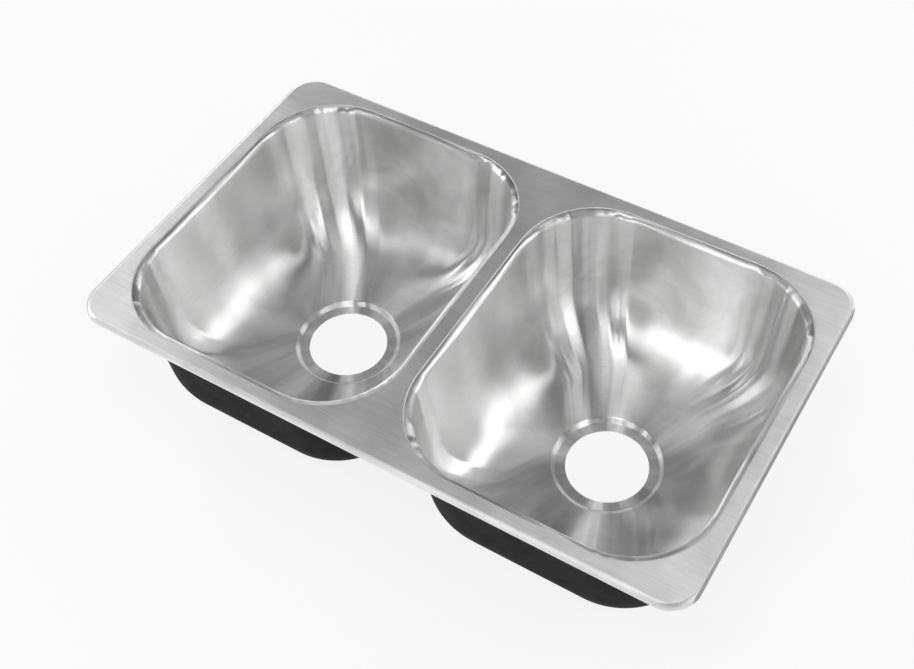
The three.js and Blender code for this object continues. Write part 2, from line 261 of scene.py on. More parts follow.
spray, given, result = new_group(
    "spray_grain",
    [("Place", "NodeSocketVector", None), ("Pebbles per metre", "NodeSocketFloat", 900.0)],
    [("Height", "NodeSocketFloat"), ("Specks", "NodeSocketFloat")],
)
pebbles = add_node(spray, "ShaderNodeTexVoronoi", {
    "Vector": given.outputs["Place"],
    "Scale": given.outputs["Pebbles per metre"],
}, feature="SMOOTH_F1")
lumps = add_node(spray, "ShaderNodeTexNoise", {
    "Vector": given.outputs["Place"],
    "Scale": 260.0,
    "Detail": 3.0,
})
specks = add_node(spray, "ShaderNodeTexNoise", {
    "Vector": given.outputs["Place"],
    "Scale": 1500.0,
    "Detail": 1.0,
})
relief = calculate(spray, "ADD",
    calculate(spray, "MULTIPLY", pebbles.outputs["Distance"], PEBBLE_SHARE),
    calculate(spray, "MULTIPLY", lumps.outputs["Fac"], LUMP_SHARE))
spray.links.new(relief, result.inputs["Height"])
dust = rescale(spray, specks.outputs["Fac"], *SPECK_RANGE)
spray.links.new(dust, result.inputs["Specks"])
print("spray group:", len(spray.nodes), "nodes")

# %% [markdown]
# ## The finishes
#
# Each material is one Principled shader. Metals here are fully metallic, so their look
# comes from colour, roughness and what they mirror. A brushed metal blurs reflections
# across its scratches, which the anisotropic value does, and a tangent or a rotation
# tells it which way the blur runs. Reliefs are bumps, with their depth in metres: the
# finest are a few thousandths of a millimetre, far too fine for the mesh.

# %% Helpers for materials
# Nearly all values of a noise lie in this range.
SHADE_RANGE = (0.3, 0.7)
FINISHES = {}


def new_material(name):
    material = bpy.data.materials.new(name)
    material.use_nodes = True
    tree = material.node_tree
    shader = tree.nodes["Principled BSDF"]
    return material, tree, shader


def between(tree, share, first, second):
    """A colour that goes from the first to the second as share goes from 0 to 1."""
    node = add_node(tree, "ShaderNodeMix", {"Factor": share}, data_type="RGBA")
    for socket, colour in zip([s for s in node.inputs if s.type == "RGBA"], (first, second)):
        if isinstance(colour, bpy.types.NodeSocket):
            tree.links.new(colour, socket)
        else:
            socket.default_value = (*colour, 1.0)
    return [s for s in node.outputs if s.type == "RGBA"][0]


def relief_on(tree, shader, height, depth, smooth_below=None):
    inputs = {"Height": height, "Strength": 1.0, "Distance": depth}
    if smooth_below is not None:
        inputs["Normal"] = smooth_below
    bump = add_node(tree, "ShaderNodeBump", inputs)
    tree.links.new(bump.outputs["Normal"], shader.inputs["Normal"])
    return bump.outputs["Normal"]


def keep_finish(slot, material):
    """Files a material under the slot that its pieces name."""
    FINISHES[slot] = material
    print(slot, "has", len(material.node_tree.nodes), "nodes")


print("material helpers ready")

# %% [markdown]
# ### Satin deck
#
# The deck is brushed along its length. Its grain runs along X, so light smears across
# it, from front to back. A radial tangent about X gives that direction without an
# unwrapped mesh. The turned-down rims at the two ends are painted a darker, mottled
# grey: painted shade that stands in for the dim reflection those outward faces show.
# Slow waves stand for the slight spring that thin sheet keeps, so a long reflection is
# never quite straight.

# %% Material: deck steel
DECK_DARK = (0.68, 0.68, 0.68)
DECK_BRIGHT = (0.94, 0.94, 0.94)
# Painted shade: the two end rims get these darker greys in place of the satin tone.
END_RIM_SHADE_DARK = (0.3, 0.3, 0.3)
END_RIM_SHADE_LIGHT = (0.42, 0.42, 0.42)
END_RIM_BEGINS = 0.3401
END_RIM_FADE = 0.001
DECK_ROUGHNESS = (0.46, 0.54)
DECK_WAVE_DEPTH = 0.0012
DECK_SCRATCH_DEPTH = 0.00001


def deck_steel():
    material, tree, shader = new_material("deck_steel")
    place = add_node(tree, "ShaderNodeTexCoord").outputs["Object"]
    brushed = use_group(tree, grain, {
        "Place": place,
        "Lines per metre": (25.0, 800.0, 800.0),
        "Fineness": 4.0,
        "Patches per metre": 22.0,
    })
    wiped = use_group(tree, marks, {"Place": place, "Marks per metre": 7.0})
    shade = rescale(tree, brushed.outputs["Shade"], *SHADE_RANGE)
    satin = between(tree, shade, DECK_DARK, DECK_BRIGHT)
    # Painted shade on the end rims: a dark grey, mottled by the marks mask, standing in for their
    # dim reflection.
    painted_rim_shade = between(tree, wiped.outputs["Mask"], END_RIM_SHADE_DARK, END_RIM_SHADE_LIGHT)
    away = add_node(tree, "ShaderNodeVectorMath", {0: place}, operation="ABSOLUTE")
    parts = add_node(tree, "ShaderNodeSeparateXYZ", {0: away.outputs["Vector"]})
    rim_whole = END_RIM_BEGINS + END_RIM_FADE
    at_end = rescale(tree, parts.outputs["X"], END_RIM_BEGINS, rim_whole)
    tree.links.new(between(tree, at_end, satin, painted_rim_shade), shader.inputs["Base Color"])
    rough = rescale(tree, wiped.outputs["Mask"], 0.0, 1.0, *DECK_ROUGHNESS)
    tree.links.new(rough, shader.inputs["Roughness"])
    waves = add_node(tree, "ShaderNodeTexNoise", {"Vector": place, "Scale": 9.0, "Detail": 1.0})
    below = relief_on(tree, shader, waves.outputs["Fac"], DECK_WAVE_DEPTH)
    relief_on(tree, shader, brushed.outputs["Height"], DECK_SCRATCH_DEPTH, below)
    shader.inputs["Metallic"].default_value = 1.0
    shader.inputs["Anisotropic"].default_value = 0.65
    tangent = add_node(tree, "ShaderNodeTangent", direction_type="RADIAL", axis="X")
    tree.links.new(tangent.outputs["Tangent"], shader.inputs["Tangent"])
    return material


keep_finish("deck_steel", deck_steel())

# %% [markdown]
# ### Drawn bowl
#
# A bowl is drawn from flat sheet by a punch, which leaves faint upright draw lines, and
# is then polished round and round. Both follow the metal's flow, so every point of the
# bowl's mesh carries a place in that flow: where it is on the way round, as a point on
# a circle, and how far down the section it is. The grain reads that place, which keeps
# the lines true round the corners and over the floor. Unwrapping the bowl instead would
# leave a seam that cuts them.
#
# The round polish spreads each reflection along the section and hardly at all across it.
# So a lamp shows as a streak that comes down a corner, or as a flare on the blend, and
# as rays round the drain. The shoulder and the floor are a little duller than the wall,
# because the wheel touches them less, and the drain ring is as bright as the wall.
# Handling leaves smoky patches, which darken the tone here and there.
#
# The first cell has what changes down the section, with distances in metres from the
# flange's edge. The second one wires the finish.

# %% Down a bowl's section
SHOULDER_BEGINS = 0.012
SHOULDER_ENDS = 0.018
LINES_FADE = (0.10, 0.26)
FLOOR_FADE = (0.13, 0.20)
RING_MIDDLE = 0.2755
RING_REACH = 0.0042
CORNER_MIDDLE = math.radians(30)
CORNER_FADE = (0.25, 0.75)
LINES_ON_FLOOR = 0.15
LINES_ON_SIDES = 0.2
FLOOR_DULLNESS = 0.08
SHOULDER_DULLNESS = 0.1


def draw_relief(tree, turn, down, height):
    """Draw lines are deepest on the walls and in the corners, and fade elsewhere."""
    on_wall = rescale(tree, down, *LINES_FADE, 1.0, LINES_ON_FLOOR, "SMOOTHSTEP")
    from_corner = calculate(tree, "PINGPONG",
        calculate(tree, "SUBTRACT", turn, CORNER_MIDDLE), math.pi / 4)
    at_corner = rescale(tree, from_corner, *CORNER_FADE, 1.0, LINES_ON_SIDES, "SMOOTHSTEP")
    share = calculate(tree, "MULTIPLY", on_wall, at_corner)
    return calculate(tree, "MULTIPLY", height, share)


def added_roughness(tree, down):
    """How much duller the shoulder and the floor are, apart from the drain ring."""
    on_floor = rescale(tree, down, *FLOOR_FADE, 0.0, FLOOR_DULLNESS, "SMOOTHSTEP")
    in_ring = calculate(tree, "COMPARE", down, RING_MIDDLE, RING_REACH)
    off_ring = calculate(tree, "SUBTRACT", 1.0, in_ring)
    on_floor = calculate(tree, "MULTIPLY", on_floor, off_ring)
    at_shoulder = rescale(tree, down,
        SHOULDER_BEGINS, SHOULDER_ENDS, SHOULDER_DULLNESS, 0.0, "SMOOTHSTEP")
    return calculate(tree, "ADD", on_floor, at_shoulder)


print("the floor is at its dullest from", FLOOR_FADE[1], "m down the section")

# %% Material: bowl steel
FLOW = "metal_flow"
BOWL_DARK = (0.74, 0.739, 0.735)
BOWL_BRIGHT = (0.96, 0.96, 0.958)
BOWL_SMOKE = (0.55, 0.548, 0.543)
BOWL_TONE_RANGE = (0.17, 0.33)
SMOKE_BEGINS = 0.4
SMOKE_SHARE = 0.4
BOWL_ROUGHNESS = (0.278, 0.3)
BOWL_WAVE_DEPTH = 0.003
DRAW_LINE_DEPTH = 0.002
POLISH_LINE_DEPTH = 0.000003


def bowl_steel():
    material, tree, shader = new_material("bowl_steel")
    flow = add_node(tree, "ShaderNodeAttribute", attribute_name=FLOW).outputs["Vector"]
    place = add_node(tree, "ShaderNodeTexCoord").outputs["Object"]
    polished = use_group(tree, grain, {
        "Place": flow,
        "Lines per metre": (9.0, 9.0, 3200.0),
        "Patches per metre": 4.0,
    })
    drawn = use_group(tree, grain, {
        "Place": flow,
        "Lines per metre": (7.0, 7.0, 1.5),
        "Fineness": 1.2,
        "Patches per metre": 5.0,
    })
    wiped = use_group(tree, marks, {"Place": place, "Marks per metre": 9.0})
    tone = calculate(tree, "MULTIPLY", drawn.outputs["Shade"], polished.outputs["Shade"])
    tone = rescale(tree, tone, *BOWL_TONE_RANGE)
    lined = between(tree, tone, BOWL_DARK, BOWL_BRIGHT)
    smoky = rescale(tree, wiped.outputs["Mask"], SMOKE_BEGINS, 1.0, 0.0, SMOKE_SHARE)
    tree.links.new(between(tree, smoky, lined, BOWL_SMOKE), shader.inputs["Base Color"])
    parts = add_node(tree, "ShaderNodeSeparateXYZ", {0: flow})
    turn = calculate(tree, "ARCTAN2", parts.outputs["Y"], parts.outputs["X"])
    down = parts.outputs["Z"]
    rough = rescale(tree, wiped.outputs["Mask"], 0.0, 1.0, *BOWL_ROUGHNESS)
    rough = calculate(tree, "ADD", rough, added_roughness(tree, down))
    tree.links.new(rough, shader.inputs["Roughness"])
    waves = add_node(tree, "ShaderNodeTexNoise", {"Vector": place, "Scale": 12.0, "Detail": 1.0})
    draw_lines = draw_relief(tree, turn, down, drawn.outputs["Height"])
    below = relief_on(tree, shader, waves.outputs["Fac"], BOWL_WAVE_DEPTH)
    below = relief_on(tree, shader, draw_lines, DRAW_LINE_DEPTH, below)
    relief_on(tree, shader, polished.outputs["Height"], POLISH_LINE_DEPTH, below)
    shader.inputs["Metallic"].default_value = 1.0
    shader.inputs["Anisotropic"].default_value = 1.0
    shader.inputs["Anisotropic Rotation"].default_value = 0.25
    return material


keep_finish("bowl_steel", bowl_steel())

# %% [markdown]
# ### Black coat
#
# The coat is a matte rubbery skin, nearly black, with a pebbled relief. Real pebbles in
# the mesh would cost millions of faces, so the relief is a bump. The skin is so rough
# that it hardly mirrors anything, which a low specular level gives.

# %% Material: black undercoat
COAT_BLACK = (0.009, 0.009, 0.010)
COAT_DUST = (0.05, 0.05, 0.054)
COAT_ROUGHNESS = (0.78, 0.92)
COAT_SPECULAR = 0.25
PEBBLE_DEPTH = 0.0003


def black_undercoat():
    material, tree, shader = new_material("black_undercoat")
    place = add_node(tree, "ShaderNodeTexCoord").outputs["Object"]
    sprayed = use_group(tree, spray, {"Place": place, "Pebbles per metre": 900.0})
    wiped = use_group(tree, marks, {"Place": place, "Marks per metre": 20.0})
    colour = between(tree, sprayed.outputs["Specks"], COAT_BLACK, COAT_DUST)
    tree.links.new(colour, shader.inputs["Base Color"])
    rough = rescale(tree, wiped.outputs["Mask"], 0.0, 1.0, *COAT_ROUGHNESS)
    tree.links.new(rough, shader.inputs["Roughness"])
    relief_on(tree, shader, sprayed.outputs["Height"], PEBBLE_DEPTH)
    shader.inputs["Specular IOR Level"].default_value = COAT_SPECULAR
    return material


keep_finish("black_undercoat", black_undercoat())

# %% [markdown]
# ### Dull rails
#
# The rails are raw strip, rolled into a channel and spot-welded to the deck. Heat leaves
# a straw-brown spot at each weld. It could be a picture on an unwrapped mesh, but a
# distance is simpler: a rail's own origin is at its middle, so the welds lie at a fixed
# place along its X axis, and the tint fades with the distance from there.

# %% Material: rail steel
RAIL_DARK = (0.36, 0.37, 0.38)
RAIL_BRIGHT = (0.48, 0.485, 0.49)
WELD_STRAW = (0.30, 0.22, 0.14)
RAIL_ROUGHNESS = (0.40, 0.52)
RAIL_SCRATCH_DEPTH = 0.00002
WELD_OFFSET = 0.010
WELD_RADIUS = 0.0045


def rail_steel():
    material, tree, shader = new_material("rail_steel")
    place = add_node(tree, "ShaderNodeTexCoord").outputs["Object"]
    rolled = use_group(tree, grain, {
        "Place": place,
        "Lines per metre": (50.0, 2500.0, 2500.0),
        "Patches per metre": 60.0,
    })
    mirrored = add_node(tree, "ShaderNodeVectorMath", {0: place}, operation="ABSOLUTE")
    from_weld = add_node(tree, "ShaderNodeVectorMath", {
        0: mirrored.outputs["Vector"],
        1: (WELD_OFFSET, 0.0, 0.0),
    }, operation="DISTANCE")
    heat = rescale(tree, from_weld.outputs["Value"], WELD_RADIUS, 2 * WELD_RADIUS, 1.0, 0.0)
    plain = between(tree, rolled.outputs["Shade"], RAIL_DARK, RAIL_BRIGHT)
    tree.links.new(between(tree, heat, plain, WELD_STRAW), shader.inputs["Base Color"])
    rough = rescale(tree, rolled.outputs["Shade"], *SHADE_RANGE, *RAIL_ROUGHNESS)
    tree.links.new(rough, shader.inputs["Roughness"])
    relief_on(tree, shader, rolled.outputs["Height"], RAIL_SCRATCH_DEPTH)
    shader.inputs["Metallic"].default_value = 1.0
    return material


keep_finish("rail_steel", rail_steel())

# %% [markdown]
# ### Bright zinc
#
# Bolts, claws, washers and nuts are zinc plated: a cool bright grey with a faint blue
# and straw shimmer from the passivation dip. A thin film layer could give the shimmer,
# but the same patches that mark the steel, at a smaller scale, are enough on parts of
# this size.

# %% Material: zinc plate
ZINC_BLUE = (0.55, 0.57, 0.61)
ZINC_STRAW = (0.62, 0.60, 0.54)
ZINC_ROUGHNESS = (0.26, 0.40)
ZINC_GRAIN_DEPTH = 0.00003


def zinc_plate():
    material, tree, shader = new_material("zinc_plate")
    place = add_node(tree, "ShaderNodeTexCoord").outputs["Object"]
    plated = use_group(tree, grain, {
        "Place": place,
        "Lines per metre": (700.0, 700.0, 700.0),
        "Patches per metre": 150.0,
    })
    wiped = use_group(tree, marks, {"Place": place, "Marks per metre": 110.0})
    colour = between(tree, wiped.outputs["Mask"], ZINC_BLUE, ZINC_STRAW)
    tree.links.new(colour, shader.inputs["Base Color"])
    rough = rescale(tree, plated.outputs["Shade"], *SHADE_RANGE, *ZINC_ROUGHNESS)
    tree.links.new(rough, shader.inputs["Roughness"])
    relief_on(tree, shader, plated.outputs["Height"], ZINC_GRAIN_DEPTH)
    shader.inputs["Metallic"].default_value = 1.0
    return material


keep_finish("zinc_plate", zinc_plate())

# %% [markdown]
# ## Putting a piece in its node's place
#
# The frame's record says which body each node moves with and which finish it has. A
# finished piece takes both from the node that it stands for, so neither is typed twice.
# Each mesh is shaded smooth, apart from edges that turn by more than the sharp angle.

# %% Dress a piece
SHARP_ANGLE = math.radians(32)
SLOT_OF = {part["node"]: part["material_slot"] for part in frame["record"]["subparts"]}
BODY_OF = {
    node: body
    for body, nodes in frame["record"]["behaviour"]["bodies"].items()
    for node in nodes
}


def stand_for(piece, node):
    mesh = piece.data
    mesh.materials.clear()
    mesh.materials.append(FINISHES[SLOT_OF[node]])
    mesh.shade_smooth()
    mesh.set_sharp_from_angle(angle=SHARP_ANGLE)
    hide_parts(node)
    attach(piece, BODY_OF[node])
    return piece


def new_piece(name, vertices, faces, matrix=None):
    mesh = bpy.data.meshes.new(name)
    mesh.from_pydata([tuple(map(float, v)) for v in vertices], [], faces)
    work = bmesh.new()
    work.from_mesh(mesh)
    bmesh.ops.recalc_face_normals(work, faces=work.faces)
    work.to_mesh(mesh)
    work.free()
    piece = bpy.data.objects.new(name, mesh)
    bpy.context.scene.collection.objects.link(piece)
    if matrix is not None:
        piece.matrix_world = matrix
    return piece


print("slots:", sorted(set(SLOT_OF.values())))

# %% [markdown]
# ## Loops: how pressed sheet is drawn
#
# Deck and bowls are rounded rectangles that grow, shrink and sink as they go round a
# bend. Boxes with bevels and cuts would leave long thin triangles there, which polished
# steel shows at once. So a sheet is a row of closed loops with the same number of
# points, and stitching each loop to the next makes clean quads. A loop is moved in or
# out by an offset, and its corner radius follows.

# %% Closed loops
CORNER_STEPS = 24
SIDE_STEPS = 12
CORNERS = [(1, 1), (-1, 1), (-1, -1), (1, -1)]
LOOP_POINTS = len(CORNERS) * (CORNER_STEPS + SIDE_STEPS)


def rounded_loop(half_length, half_depth, radius, height):
    points = []
    for quarter, (sx, sy) in enumerate(CORNERS):
        for angle in (quarter + np.linspace(0, 1, CORNER_STEPS + 1)) * math.pi / 2:
            points.append((
                sx * (half_length - radius) + radius * math.cos(angle),
                sy * (half_depth - radius) + radius * math.sin(angle),
                height,
            ))
        nx, ny = CORNERS[(quarter + 1) % len(CORNERS)]
        turn = (quarter + 1) * math.pi / 2
        start = np.array(points[-1])
        end = np.array((
            nx * (half_length - radius) + radius * math.cos(turn),
            ny * (half_depth - radius) + radius * math.sin(turn),
            height,
        ))
        for step in range(1, SIDE_STEPS):
            points.append(tuple(start + (end - start) * step / SIDE_STEPS))
    return np.array(points)


def circle_loop(radius, height):
    """A circle with as many points, turned so that corner middles stay on diagonals."""
    turns = (np.arange(LOOP_POINTS) - CORNER_STEPS / 2) * 2 * math.pi / LOOP_POINTS
    angles = math.pi / 4 + turns
    heights = np.full(LOOP_POINTS, height)
    return np.stack([radius * np.cos(angles), radius * np.sin(angles), heights], 1)


print("points in a loop:", LOOP_POINTS)


# %% Sheets between loops
def stitch(rows, count, closed=False):
    """Quads between rows of loop points, numbered in order."""
    faces = []
    last = rows if closed else rows - 1
    for row in range(last):
        here = row * count
        there = (row + 1) % rows * count
        for index in range(count):
            after = (index + 1) % count
            faces.append((here + index, here + after, there + after, there + index))
    return faces


def arc(centre, radius, start, end, steps):
    """Points [across, up] on an arc, angles from the across axis."""
    return [
        (centre[0] + radius * math.cos(angle), centre[1] + radius * math.sin(angle))
        for angle in np.linspace(start, end, steps + 1)
    ]


print("faces between two loops:", len(stitch(2, LOOP_POINTS)))

# %% [markdown]
# ## The deck
#
# The deck is 0.8 mm sheet with its rim bent down, and its two openings have a soft edge
# that catches a thin line of light. Lengths come from the frame's boxes. Radii and
# thicknesses, which a box can't tell, are written here.

# %% Deck: sizes from the frame
MM = 0.001
SHEET = 0.8 * MM
RIM_BEND = 4.5 * MM
SINK_CORNER = 31 * MM
OPENING_CORNER = 88 * MM
CORNER_SHRINK = 0.5
FLANGE = 7 * MM
EDGE_SOFT = 0.75 * MM
SUPPORT = 0.9 * MM

deck_low, deck_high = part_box("deck")
DECK_TOP = deck_high.z
HALF_LENGTH = (deck_high.x - deck_low.x) / 2
HALF_DEPTH = (deck_high.y - deck_low.y) / 2
bowl_low, bowl_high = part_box("right_bowl")
BOWL_X = (bowl_low.x + bowl_high.x) / 2
OPENING_HALF_LENGTH = (bowl_high.x - bowl_low.x) / 2 - FLANGE
OPENING_HALF_DEPTH = (bowl_high.y - bowl_low.y) / 2 - FLANGE
print("deck", round(2000 * HALF_LENGTH), "x", round(2000 * HALF_DEPTH), "mm")
print("opening", round(2000 * OPENING_HALF_LENGTH), "x", round(2000 * OPENING_HALF_DEPTH), "mm")

# %% [markdown]
# ### Two bends and a plate
#
# The rim and the edge of an opening are each a section: a list of how far out and how
# high the next loop lies. Extra loops lie close to each bend, so that smooth shading
# stays flat on the flat parts. What is left between the innermost loop of the rim and
# the two openings is flat, so triangles can fill it without harm.

# %% Deck: its loops
BEND_STEPS = 9
EDGE_STEPS = 4
FOOT_STEPS = 2


def deck_loop(offset, height):
    return rounded_loop(
        HALF_LENGTH + offset, HALF_DEPTH + offset, SINK_CORNER + offset, height
    )


def opening_loop(offset, height):
    """Inside the opening the corner radius shrinks more slowly than the sides draw in."""
    return rounded_loop(
        OPENING_HALF_LENGTH + offset,
        OPENING_HALF_DEPTH + offset,
        OPENING_CORNER + max(offset, CORNER_SHRINK * offset),
        height,
    )


def rim_section():
    """From the plate's top over the bend, round the rim's lower edge and back inside."""
    bend = (-RIM_BEND, DECK_TOP - RIM_BEND)
    inner = RIM_BEND - SHEET
    soft = SHEET / 4
    foot = deck_low.z + soft
    return [
        (-RIM_BEND - SUPPORT, DECK_TOP),
        *arc(bend, RIM_BEND, math.pi / 2, 0, BEND_STEPS),
        (0.0, foot + SUPPORT),
        *arc((-soft, foot), soft, 0, -math.pi / 2, FOOT_STEPS),
        *arc((-SHEET + soft, foot), soft, -math.pi / 2, -math.pi, FOOT_STEPS),
        (-SHEET, foot + SUPPORT),
        *arc(bend, inner, 0, math.pi / 2, BEND_STEPS),
        (-RIM_BEND - SUPPORT, DECK_TOP - SHEET),
    ]


def opening_section():
    """From the plate's top over the opening's soft edge to the plate's underside."""
    soft = (EDGE_SOFT, DECK_TOP - EDGE_SOFT)
    return [
        (EDGE_SOFT + SUPPORT, DECK_TOP),
        *arc(soft, EDGE_SOFT, math.pi / 2, math.pi, EDGE_STEPS),
        (0.0, DECK_TOP - SHEET),
        (EDGE_SOFT + SUPPORT, DECK_TOP - SHEET),
    ]


print("loops:", len(rim_section()), "on the rim,", len(opening_section()), "at an opening")


# %% Deck: the plate
def make_deck():
    rows = [deck_loop(offset, height) for offset, height in rim_section()]
    vertices = list(np.concatenate(rows))
    faces = stitch(len(rows), LOOP_POINTS)
    top = [list(range(LOOP_POINTS))]
    under = [list(range(len(vertices) - LOOP_POINTS, len(vertices)))]
    for x in (-BOWL_X, BOWL_X):
        first = len(vertices)
        rows = [opening_loop(o, h) + np.array((x, 0, 0)) for o, h in opening_section()]
        vertices.extend(np.concatenate(rows))
        faces += [tuple(first + i for i in face) for face in stitch(len(rows), LOOP_POINTS)]
        top.append([first + i for i in range(LOOP_POINTS)])
        under.append([len(vertices) - LOOP_POINTS + i for i in range(LOOP_POINTS)])
    for outlines in (top, under):
        order = [index for outline in outlines for index in outline]
        flat = [[Vector(vertices[index]) for index in outline] for outline in outlines]
        faces += [tuple(order[i] for i in face) for face in tessellate_polygon(flat)]
    return new_piece("deck_plate", vertices, faces)


deck = stand_for(make_deck(), "deck")
print("deck plate:", len(deck.data.polygons), "faces")

# %% [markdown]
# ## The bowls
#
# A drawn bowl has one section all the way round: a flange under the deck, a rounded
# shoulder, a wall that leans in so that it leaves the punch, a big blend, a floor that
# falls to the drain, and the stepped drain seat. Only the corners open out on the way
# down, where their radius shrinks half as fast as the bowl narrows. A bevelled box
# can't do that, but loops can.
#
# The section's line is worked out from a few plain measures: how far the walls lean,
# how big the blend is and how deep the floor's edge lies. Where wall, blend and floor
# touch then follows from the geometry, so they meet with no crease.

# %% Bowl: the section
FIT_GAP = 0.3 * MM
LEDGE = 0.3 * MM
SHOULDER = 6.2 * MM
WALL_TAPER = math.radians(4.5)
BLEND = 65 * MM
FLOOR_SLOPE = math.radians(8)
FLOOR_EDGE_DEPTH = 168 * MM

FLANGE_TOP = DECK_TOP - SHEET - FIT_GAP
FLOOR_EDGE_Z = DECK_TOP - FLOOR_EDGE_DEPTH
WALL_OUT = np.array((-math.cos(WALL_TAPER), math.sin(WALL_TAPER)))
WALL_DOWN = np.array((-math.sin(WALL_TAPER), -math.cos(WALL_TAPER)))
SHOULDER_CENTRE = np.array((-LEDGE, FLANGE_TOP - SHOULDER))
WALL_TOP = SHOULDER_CENTRE + WALL_OUT * SHOULDER
BLEND_TOUCH = FLOOR_EDGE_Z + BLEND * math.cos(FLOOR_SLOPE)
WALL_LENGTH = (WALL_TOP[1] + BLEND * WALL_OUT[1] - BLEND_TOUCH) / math.cos(WALL_TAPER)
BLEND_CENTRE = WALL_TOP + WALL_DOWN * WALL_LENGTH + WALL_OUT * BLEND
print("wall", round(WALL_LENGTH / MM, 1), "mm; floor edge", round(FLOOR_EDGE_Z / MM, 1), "mm up")

# %% [markdown]
# ### From a rectangle to a circle
#
# The section is written once, for a face at any depth in the sheet. Depth 0 is the
# inside face, and the same line moved out by the sheet's thickness is the outside one.
#
# Wall and blend follow the opening's rounded rectangle, and the drain is round. Between
# them the floor leads each point of the blend to its partner on the drain's ring. On a
# straight line it would leave a crease at both ends, so it follows a cubic curve, which
# leaves and arrives with a chosen slope.

# %% Bowl: shoulder, wall and blend
SHOULDER_STEPS = 8
WALL_STEPS = 8
BLEND_STEPS = 18


def wall_section(depth):
    """Shoulder, wall and blend as [offset, height], from the top down."""
    shoulder = arc(SHOULDER_CENTRE, SHOULDER - depth,
        math.pi / 2, math.pi - WALL_TAPER, SHOULDER_STEPS)
    blend = arc(BLEND_CENTRE, BLEND + depth,
        -WALL_TAPER, FLOOR_SLOPE - math.pi / 2, BLEND_STEPS)
    start, end = np.array(shoulder[-1]), np.array(blend[0])
    wall = [tuple(start + (end - start) * k / WALL_STEPS) for k in range(1, WALL_STEPS)]
    return shoulder, wall, blend


print("loops from shoulder to floor:", sum(len(part) for part in wall_section(0.0)))

# %% Bowl: floor and drain
DRAIN_HOLE = 44.45 * MM
DRAIN_RING = 61 * MM
DRAIN_RECESS = 4.5 * MM
RING_BEND = 3 * MM
SEAT_BEND = 1.2 * MM
RING_TURN = math.radians(45)
RING_SLOPE = math.radians(5)
FLOOR_STEPS = 14
RING_STEPS = 6
SEAT_STEPS = 4
SEAT_TOP = bowl_low.z + SHEET
RING_TOP = SEAT_TOP + DRAIN_RECESS


def floor_rows(edge, depth):
    """The floor's fall from the blend to the ring, with matching slopes at both ends."""
    ring = circle_loop(DRAIN_RING, RING_TOP - depth)
    across = np.linalg.norm((ring - edge)[:, :2], axis=1)
    start_fall = -math.tan(FLOOR_SLOPE) * across
    end_fall = -math.tan(RING_SLOPE) * across
    rows = []
    for t in np.linspace(0, 1, FLOOR_STEPS + 1)[1:]:
        row = edge + (ring - edge) * t
        row[:, 2] = (
            (2 * t**3 - 3 * t**2 + 1) * edge[:, 2]
            + (t**3 - 2 * t**2 + t) * start_fall
            + (3 * t**2 - 2 * t**3) * ring[:, 2]
            + (t**3 - t**2) * end_fall
        )
        rows.append(row)
    return rows


def drain_section(depth):
    """The recess as [radius, height]: bent ring, cone, seat and the hole's soft edge."""
    ring_centre = (DRAIN_RING, RING_TOP - RING_BEND)
    ring = arc(ring_centre, RING_BEND - depth,
        math.pi / 2, math.pi / 2 + RING_TURN, RING_STEPS)
    foot = (RING_BEND + SEAT_BEND) * math.sin(RING_TURN)
    drop = DRAIN_RECESS - (RING_BEND + SEAT_BEND) * (1 - math.cos(RING_TURN))
    seat_centre = (DRAIN_RING - foot - drop / math.tan(RING_TURN), SEAT_TOP + SEAT_BEND)
    seat = arc(seat_centre, SEAT_BEND + depth,
        RING_TURN - math.pi / 2, -math.pi / 2, SEAT_STEPS)
    height = SEAT_TOP - depth
    hole = [(DRAIN_HOLE + SUPPORT, height), (DRAIN_HOLE + SHEET / 4, height)]
    return [*ring[1:], *seat, *hole]


def bowl_face(depth):
    shoulder, wall, blend = wall_section(depth)
    flange = [(FLANGE, FLANGE_TOP - depth), (SUPPORT - LEDGE, FLANGE_TOP - depth)]
    rows = [opening_loop(o, h) for o, h in [*flange, *shoulder, *wall, *blend]]
    rows += floor_rows(rows[-1], depth)
    rows += [circle_loop(r, h) for r, h in drain_section(depth)]
    return rows


print("loops on one face:", len(bowl_face(0.0)))

# %% [markdown]
# ### The shell and its flow
#
# The inside face, the lip of the hole and the outside face make one closed shell, with
# the sheet's real thickness wherever an edge shows it. A Solidify modifier could add
# the thickness, but its inner radii would only be nearly right. Each point also gets
# its place in the metal's flow, as an attribute that the finish reads.

# %% Bowl: the shell and the flow of its metal
def flow_of(rows):
    """For each point: its place round the bowl on a unit circle, and its way down."""
    turns = np.arange(LOOP_POINTS) * 2 * math.pi / LOOP_POINTS
    around = np.stack([np.cos(turns), np.sin(turns)], 1)
    down = np.zeros(LOOP_POINTS)
    flow = []
    for row, before in zip(rows, [rows[0], *rows[:-1]]):
        down = down + np.linalg.norm(row - before, axis=1).mean()
        flow.append(np.column_stack([around, down]))
    return np.concatenate(flow)


def make_bowl(side, x):
    inside = bowl_face(0.0)
    outside = bowl_face(SHEET)
    lip = [circle_loop(DRAIN_HOLE, SEAT_TOP - share * SHEET) for share in (0.25, 0.75)]
    rows = [*inside, *lip, *reversed(outside)]
    flow = np.concatenate([
        flow_of([*inside, *lip]),
        flow_of(outside).reshape(len(outside), LOOP_POINTS, 3)[::-1].reshape(-1, 3),
    ])
    faces = stitch(len(rows), LOOP_POINTS, closed=True)
    place = Matrix.Translation((x, 0, 0))
    bowl = new_piece(f"{side}_bowl_shell", np.concatenate(rows), faces, place)
    carried = bowl.data.attributes.new(FLOW, "FLOAT_VECTOR", "POINT")
    carried.data.foreach_set("vector", flow.astype(np.float32).ravel())
    return stand_for(bowl, f"{side}_bowl")


for side, x in (("left", -BOWL_X), ("right", BOWL_X)):
    shell = make_bowl(side, x)
    print(shell.name, len(shell.data.polygons), "faces")

